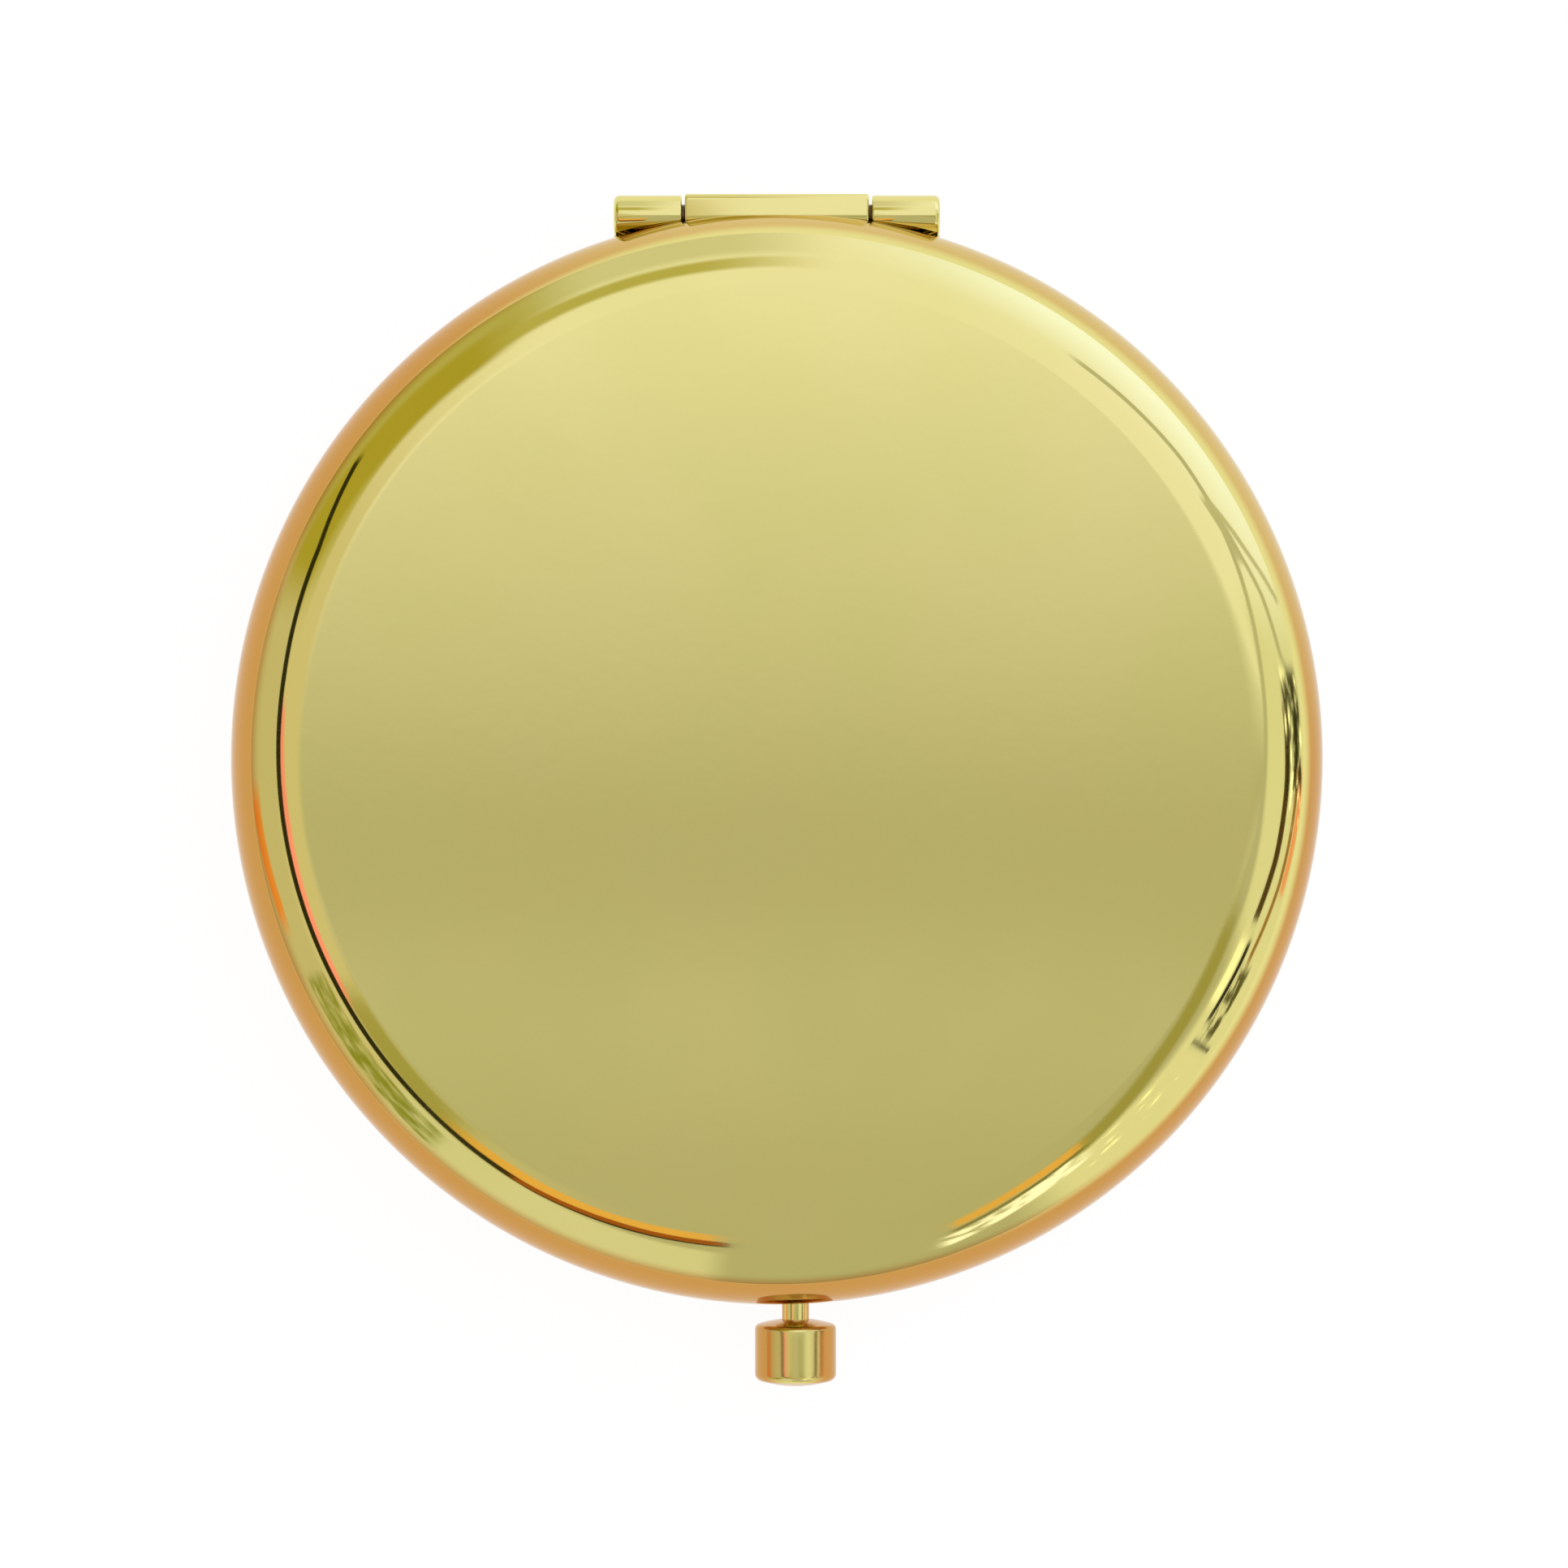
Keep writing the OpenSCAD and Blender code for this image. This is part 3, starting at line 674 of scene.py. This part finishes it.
stem_low, stem_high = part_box("button_stem")
cap_low, cap_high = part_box("button_cap")
bush_low, bush_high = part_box("stem_bush")
BUTTON_X = (cap_low.x + cap_high.x) / 2
BUTTON_Z = (cap_low.z + cap_high.z) / 2
CAP_R = (cap_high.x - cap_low.x) / 2
CAP_LEN = cap_high.y - cap_low.y
STEM_R = (stem_high.x - stem_low.x) / 2
FORWARD = (0, -1, 0)
print("button at x", round(BUTTON_X / MM, 2), "z", round(BUTTON_Z / MM, 2), "mm")

# %% [markdown]
# A dome is part of a large sphere, and the rounded edge has to meet it smoothly.
# The edge's circle touches the side wall, and it touches the dome's sphere from
# inside when the distance of their centres is the difference of their radii. The
# back edge, which no finger meets, is the tighter one.

# %% The button's cap
DOME_R = 8 * MM
BACK_EDGE = 0.35 * MM
FRONT_EDGE = 0.5 * MM


def domed_end(reach, radius):
    """Points from the axis over a dome and a rounded edge to the side wall. The edge's centre
    lies one edge radius inside the wall and on the circle of radius dome - edge round
    the dome's centre, so its height is a root."""
    out = reach - radius
    drop = np.sqrt((DOME_R - radius) ** 2 - out**2)
    meet = np.degrees(np.arcsin(out / (DOME_R - radius)))
    dome = arc((0, DOME_R), DOME_R, 0, meet, 14)
    edge = arc((out, DOME_R - drop), radius, meet, 90, 12)
    return np.vstack([dome[1:-1], edge])


back_end = domed_end(CAP_R, BACK_EDGE)
front_end = domed_end(CAP_R, FRONT_EDGE)[::-1] * (1, -1) + (0, CAP_LEN)
cap_profile = np.vstack([back_end, line(back_end[-1], front_end[0], 6)[1:-1], front_end])
cap_back = np.array([BUTTON_X, cap_high.y, BUTTON_Z])
cap = piece_of("button", [form(turned(cap_profile, 128, cap_back, FORWARD))], "button")
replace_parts(cap, "button_cap")
# the cap's steep sides get a painted coppery reflection of a warm table
button_gold = gold_plating("button_gold", BUTTON_Z, 1.65 * MM, 1.0 * MM, polish=0.18)
dress(cap, button_gold)

# %% [markdown]
# The stem is turned too: a riveted head behind the slider, a thin end through it
# and the polished shank that runs in the bush. The bush is a short tube, whose
# front lip is rounded where the shank slides in.

# %% The stem and its bush
HEAD_R = 0.78 * MM
HEAD_T = 0.35 * MM
TENON_R = 0.55 * MM
SHANK_FROM = 0.95 * MM
SHANK_TO = stem_high.y - stem_low.y
stem_profile = np.vstack([
    corner((HEAD_R - EDGE, EDGE), EDGE, 0, 90),
    [(HEAD_R, HEAD_T), (TENON_R, HEAD_T), (TENON_R, SHANK_FROM)],
    corner((STEM_R - EDGE, SHANK_FROM + EDGE), EDGE, 0, 90),
    corner((STEM_R - EDGE, SHANK_TO - EDGE), EDGE, 90, 180),
])
stem_back = np.array([BUTTON_X, stem_high.y, BUTTON_Z])
# the stem's and bush's sides get a painted coppery reflection round the button's height
stem_gold = gold_plating("stem_gold", BUTTON_Z, 0.35 * MM, 0.4 * MM, polish=0.1)
stem = piece_of("stem", [form(turned(stem_profile, 64, stem_back, FORWARD))], "button")
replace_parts(stem, "button_stem")
dress(stem, stem_gold)

BORE_R = STEM_R + 0.05 * MM
BUSH_R = (bush_high.x - bush_low.x) / 2
BUSH_LEN = bush_high.y - bush_low.y
BUSH_EDGE = 0.15 * MM
bush_profile = np.vstack([
    corner((BORE_R + EDGE, EDGE), EDGE, -90, 0),
    corner((BUSH_R - EDGE, EDGE), EDGE, 0, 90),
    corner((BUSH_R - BUSH_EDGE, BUSH_LEN - BUSH_EDGE), BUSH_EDGE, 90, 180),
    corner((BORE_R + BUSH_EDGE, BUSH_LEN - BUSH_EDGE), BUSH_EDGE, 180, 270),
])
bush_back = np.array([BUTTON_X, bush_high.y, BUTTON_Z])
bush_form = form(turned(bush_profile, 96, bush_back, FORWARD), ring=True)
bush = piece_of("bush", [bush_form], "base")
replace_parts(bush, "stem_bush")
dress(bush, stem_gold)

# %% [markdown]
# The hinge has two leaves under the trays, with webs out to three knuckles on one
# pin. The outer knuckles are plain rolls. The middle one has a flat top that
# carries the lid's flat face on, and its back edge is nearly square. Each
# knuckle is a tube: an outline in polar form, carried along the pin, with its
# ends rounded over.

# %% Knuckles
PIN_BORE_R = 0.79 * MM
KNUCKLE_GAP = 0.2 * MM
SQUARE_ROUND = 0.35 * MM


def roll(turn):
    """A round outline: the same radius in every direction."""
    return np.full(turn.shape, BARREL_R)


def squared_roll(turn):
    """A round outline whose upper back quarter is a square with a rounded corner: a ray
    meets the nearer flat, or the corner's circle where it meets both beyond its centre."""
    back, up = np.cos(turn), np.sin(turn)
    inner = BARREL_R - SQUARE_ROUND
    flat = BARREL_R / np.maximum(np.maximum(back, up), 0.5)
    both = inner * (back + up)
    corner_r = both + np.sqrt(np.maximum(both**2 - 2 * inner**2 + SQUARE_ROUND**2, 0))
    meets_corner = flat * np.minimum(back, up) > inner
    quarter = (back > 0) & (up > 0)
    return np.where(quarter, np.where(meets_corner, corner_r, flat), BARREL_R)


def knuckle(outline, start, end, edges, columns=144):
    """A tube along the pin from start to end, whose radius is the outline's, less the cut of
    the rounded edge at each end: cut = edge * (1 - sine), set back by edge * (1 - cosine)."""
    turn = np.linspace(0, 2 * np.pi, columns, endpoint=False)
    radius = outline(turn)
    bend = np.radians(np.linspace(0, 90, 6))
    rows = [(start + EDGE, None), (start, None)]
    rows += [(start + edges[0] * (1 - np.sin(b)), edges[0] * (1 - np.cos(b))) for b in bend[::-1]]
    rows += [(end - edges[1] * (1 - np.sin(b)), edges[1] * (1 - np.cos(b))) for b in bend]
    rows += [(end, None), (end - EDGE, None)]
    lips = {0: 0, 1: EDGE, len(rows) - 2: EDGE, len(rows) - 1: 0}
    grid = []
    for i, (x, cut) in enumerate(rows):
        reach = radius - cut if cut is not None else np.full(columns, PIN_BORE_R + lips[i])
        grid.append(np.stack([
            np.full(columns, x),
            AXIS_Y + reach * np.cos(turn),
            MID_Z + reach * np.sin(turn),
        ], -1))
    return np.stack(grid)


def plate(low, high, corner_r, edge):
    """A flat plate: a rectangle with rounded corners, drawn in by edge at both faces."""
    angle = np.radians(np.concatenate([a + np.linspace(0, 90, 4) for a in (0, 90, 180, 270)]))
    centre = np.array([[high[0], high[1]], [low[0], high[1]], [low[0], low[1]], [high[0], low[1]]])
    inward = np.array([[-1, -1], [1, -1], [1, 1], [-1, 1]]) * corner_r
    outline = np.repeat(centre + inward, 4, axis=0)
    out = np.stack([np.cos(angle), np.sin(angle)], -1)
    rows = []
    for cut, z in ((edge, low[2]), (0, low[2] + edge), (0, high[2] - edge), (edge, high[2])):
        flat = outline + out * (corner_r - cut)
        rows.append(np.column_stack([flat, np.full(len(flat), z)]))
    return np.stack(rows)


# %% The two leaves
LEAF_T = 0.5 * MM
LEAF_TOP = MID_Z - 0.5 * MM
PLATE_EDGE = 0.06 * MM
leaf_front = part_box("base_hinge_leaf")[0].y
LEAF_BACK = 32.2 * MM
WEB_END = AXIS_Y - PIN_BORE_R - EDGE
OUTER_FROM = KNUCKLE_HALF + KNUCKLE_GAP
outer_edges = (0.12 * MM, 0.35 * MM)


def leaf_plates(spans, half):
    """The leaf's plate and one web for each knuckle, at the base's height."""
    low_z = LEAF_TOP - LEAF_T
    low, high = (-half, leaf_front, low_z), (half, LEAF_BACK, LEAF_TOP)
    parts = [plate(low, high, 4 * PLATE_EDGE, PLATE_EDGE)]
    for start, end in spans:
        low, high = (start, leaf_front, low_z), (end, WEB_END, LEAF_TOP)
        parts.append(plate(low, high, PLATE_EDGE, PLATE_EDGE))
    return parts


outer_spans = ((-HINGE_HALF, -OUTER_FROM), (OUTER_FROM, HINGE_HALF))
base_parts = leaf_plates(outer_spans, HINGE_HALF)
base_parts.append(knuckle(roll, *outer_spans[0], outer_edges[::-1]))
base_parts.append(knuckle(roll, *outer_spans[1], outer_edges))
base_forms = [form(g, ring=i >= 3) for i, g in enumerate(base_parts)]
base_leaf = piece_of("base_hinge", base_forms, "base")
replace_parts(base_leaf, "base_hinge_leaf")
lid_parts = [turned_over(g) for g in leaf_plates(((-KNUCKLE_HALF, KNUCKLE_HALF),), KNUCKLE_HALF)]
lid_forms = [form(g) for g in lid_parts]
middle = knuckle(squared_roll, -KNUCKLE_HALF, KNUCKLE_HALF, (0.16 * MM, 0.16 * MM))
lid_forms.append(form(middle, ring=True))
lid_leaf = piece_of("lid_hinge", lid_forms, "lid")
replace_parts(lid_leaf, "lid_hinge_leaf")
# painted reflection and shade: a coppery band, strongest low down, for the gold wall mirrored
# under the knuckles and their shade
hinge_gold = gold_plating("hinge_gold", 2.4 * MM, 1.2 * MM, 1.5 * MM)
for leaf in (base_leaf, lid_leaf):
    dress(leaf, hinge_gold)

# %% [markdown]
# Behind the gold there is plain spring steel: the rivets, the slider, its guide
# and the catch. Rolled sheet has fine lines in one direction, seen as streaks in
# the roughness, and a slightly warm grey. The pin's near black brown is painted
# shade: it makes the hinge's gaps dark. These pieces are right as the CAD gives
# them, so they only get the material.

# %% Steel, trays and foam
def streaks(graph, along, across, scale):
    """Noise stretched into lines along X, between 0 and 1."""
    return graph.noise(graph.place(scale=(along, across, across)), scale, 4.0, 0.6)


def brushed(name, light, dark, line_scale, rough):
    """A rolled metal whose lines vary its colour, its roughness and a faint bump."""
    made = bpy.data.materials.new(name)
    graph = Graph(made)
    lines = streaks(graph, 0.02, 1.0, line_scale)
    spots = graph.noise(graph.place(), 400.0, 3.0)
    colour = graph.mix(lines.rise(0.3, 0.7) * 0.8 + spots.rise(0.55, 0.8) * 0.2, dark, light)
    bump = graph.node(
        "ShaderNodeBump", {}, {"Strength": 0.15, "Distance": 0.01 * MM, "Height": lines}
    )
    principled(
        graph,
        Base_Color=colour,
        Metallic=1.0,
        Roughness=rough + 0.16 * (lines - 0.5) + 0.1 * spots.rise(0.5, 0.8),
        Normal=bump,
    )
    return made


steel = brushed("steel", rgb(0.68, 0.67, 0.65), rgb(0.50, 0.49, 0.47), 3500.0, 0.26)
tray_gold = brushed("tray_gold", rgb(0.76, 0.64, 0.26), rgb(0.68, 0.57, 0.22), 5200.0, 0.20)
# the pin's near black brown is painted shade for the dark gaps of the hinge
pin_painted_shade = brushed("pin_painted_shade", rgb(0.17, 0.11, 0.05), rgb(0.08, 0.05, 0.03), 3500.0, 0.34)
foam = bpy.data.materials.new("foam")
cells = Graph(foam)
bubbles = cells.node(
    "ShaderNodeTexVoronoi", {"feature": "SMOOTH_F1"}, {"Vector": cells.place(), "Scale": 3500.0}
)
principled(
    cells,
    Base_Color=cells.mix(bubbles.rise(0.2, 0.8), rgb(0.80, 0.80, 0.78), rgb(0.62, 0.62, 0.60)),
    Roughness=0.9,
    Normal=cells.node(
        "ShaderNodeBump", {}, {"Strength": 0.6, "Distance": 0.05 * MM, "Height": 1 - bubbles}
    ),
)
finishes = {
    pin_painted_shade: ("hinge_pin",),
    steel: (
        "base_hinge_rivets", "lid_hinge_rivets", "latch_guide",
        "latch_guide_rivets", "latch_slider", "catch_plate", "catch_plate_rivets",
    ),
    tray_gold: ("base_tray", "lid_tray"),
    foam: ("base_mirror_pad", "lid_mirror_pad"),
}
for material, nodes in finishes.items():
    for node in nodes:
        for place in frame["nodes"][node].material_slots:
            place.material = material
    print(material.name, "on", ", ".join(nodes))

# %% [markdown]
# The two mirrors are silvered glass: flat in the lid, and ground to a shallow
# dish in the base, which magnifies. Glass is cut with a narrow bevel that
# catches a bright line. The silver lies behind clear glass, so one clean metal
# with a clear coat shows it, with faint wiping marks in its roughness.

# %% Mirrors
def mirror_profile(low, high, dish):
    """The disc's outline from its back's middle to its face's middle: back and face sink by
    dish * (1 - (distance / radius) squared), and the bevel is a straight cut."""
    radius, bevel = high.x, 0.3 * MM
    thick = (high.z - low.z) - dish
    out = np.linspace(0.02, 1, 24) * radius
    sunk = dish * (1 - (out / radius) ** 2)
    back = np.column_stack([out, high.z - thick - sunk])
    reach = np.minimum(out[::-1], radius - bevel)
    reach[1:] = np.linspace(radius - 1.5 * bevel, 0.02 * radius, 23)
    face = np.column_stack([reach, high.z - dish * (1 - (reach / radius) ** 2)])
    ease = 0.02 * MM
    side = [(radius, high.z - thick + ease), (radius, high.z - bevel / 2 - ease)]
    return np.vstack([back[:-1], [(radius - ease, high.z - thick)], side, face])


def mirror(name, node, body, dish, face_down):
    """A disc of glass in the place of a CAD mirror. The lid's lies face down."""
    low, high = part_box(node)
    if face_down:
        low, high = low.copy(), high.copy()
        low.z, high.z = CASE_H - high.z, CASE_H - low.z
    grid = turned(mirror_profile(low, high, dish), 240, np.zeros(3), (0, 0, 1))
    grid = turned_over(grid) if face_down else grid
    made = piece_of(name, [form(grid)], body)
    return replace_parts(made, node)


silver = bpy.data.materials.new("silvered_glass")
glass = Graph(silver)
wipe = glass.noise(glass.place(scale=(3, 1, 1), turn=(0, 0, 0.6)), 60.0, 5.0, 0.6)
dust = glass.noise(glass.place(), 2500.0, 1.0)
principled(
    glass,
    Base_Color=glass.mix(wipe.rise(0.4, 0.7), rgb(0.80, 0.83, 0.84), rgb(0.76, 0.80, 0.80)),
    Metallic=1.0,
    Roughness=0.015 + 0.02 * wipe.rise(0.45, 0.75) + 0.25 * dust.rise(0.74, 0.8),
    Coat_Weight=0.3,
    Coat_Roughness=0.02,
)
DISH = 0.4 * MM
base_mirror = mirror("dished_mirror", "base_mirror", "base", DISH, False)
lid_mirror = mirror("flat_mirror", "lid_mirror", "lid", 0.0, True)
for piece in (base_mirror, lid_mirror):
    dress(piece, silver)

# %% [markdown]
# The latch spring is a small compression coil of round wire with closed ends. It
# is a tube along a helix: rings of points stand square to the path. In the real
# thing it shortens by the button's travel, and the share of its length that it
# keeps is worked out and printed.

# %% The spring
END_EASE = 0.82


def coil_path(turns, radius, length, wire, points):
    """A helix about the forward axis: climb = share - ease * sine(2 pi share) / (2 pi). An
    ease of 0 gives an even climb, and one near 1 lets the end turns lie close together."""
    share = np.linspace(0, 1, points)
    angle = 2 * np.pi * turns * share
    climb = share - END_EASE * np.sin(2 * np.pi * share) / (2 * np.pi)
    along = wire / 2 + climb * (length - wire)
    return np.stack([radius * np.cos(angle), -along, radius * np.sin(angle)], -1)


def tube(path, radius, sides):
    """Rings round a path: the first side vector points from the coil's axis, the second is
    square to it and to the path's direction."""
    tangent = np.gradient(path, axis=0)
    tangent /= np.linalg.norm(tangent, axis=1, keepdims=True)
    out = path * (1, 0, 1)
    out -= tangent * (out * tangent).sum(1, keepdims=True)
    out /= np.linalg.norm(out, axis=1, keepdims=True)
    side = np.cross(tangent, out)
    angle = np.linspace(0, 2 * np.pi, sides, endpoint=False)[:, None]
    return path[:, None] + radius * (np.cos(angle) * out[:, None] + np.sin(angle) * side[:, None])


spring_low, spring_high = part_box("latch_spring")
SPRING_WIRE = 0.25 * MM
SPRING_LEN = spring_high.y - spring_low.y
SPRING_R = (spring_high.x - spring_low.x) / 2 - SPRING_WIRE / 2
SPRING_TURNS = 5
spring_back = np.array([BUTTON_X, spring_high.y, (spring_low.z + spring_high.z) / 2])
path = coil_path(SPRING_TURNS, SPRING_R, SPRING_LEN, SPRING_WIRE, 240)
spring_form = form(tube(path, SPRING_WIRE / 2, 12) + spring_back)
spring = piece_of("spring", [spring_form], "base")
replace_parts(spring, "latch_spring")
dress(spring, steel)
joints = {joint["name"]: joint for joint in frame["record"]["behaviour"]["joints"]}
travel = joints["button_press"]["range_m"][1]
keep = 1 - travel / SPRING_LEN
print("the spring keeps", round(keep, 2), "of its length")
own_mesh(spring)

# %% [markdown]
# The bush stands in a round hole in the base's wall. A lathe form can't leave
# out such a hole, so the wall is drilled: a Boolean modifier takes away a
# cylinder, and its result becomes the mesh.

# %% Drilling the wall for the bush
def drilled(piece, cutter_form):
    """The piece without the cutter's space. The cutter itself is removed again."""
    points, faces = cutter_form
    mesh = bpy.data.meshes.new("drill")
    mesh.from_pydata(points.tolist(), [], faces)
    drill = bpy.data.objects.new("drill", mesh)
    bpy.context.scene.collection.objects.link(drill)
    cut = piece.modifiers.new("drill", "BOOLEAN")
    cut.operation, cut.solver, cut.object = "DIFFERENCE", "EXACT", drill
    evaluated = piece.evaluated_get(bpy.context.evaluated_depsgraph_get())
    result = bpy.data.meshes.new_from_object(evaluated)
    piece.modifiers.clear()
    old, piece.data = piece.data, result
    bpy.data.meshes.remove(old)
    bpy.data.objects.remove(drill)
    print(piece.name, "drilled,", len(result.polygons), "faces")
    return piece


BORE_FIT = 0.02 * MM
drill_r = BUSH_R + BORE_FIT
drill_to = BUSH_LEN + MM
drill_profile = np.array([
    (drill_r / 2, 0), (drill_r, 0), (drill_r, drill_to), (drill_r / 2, drill_to)
])
drilled(base_bowl, form(turned(drill_profile, 96, bush_back, FORWARD)))
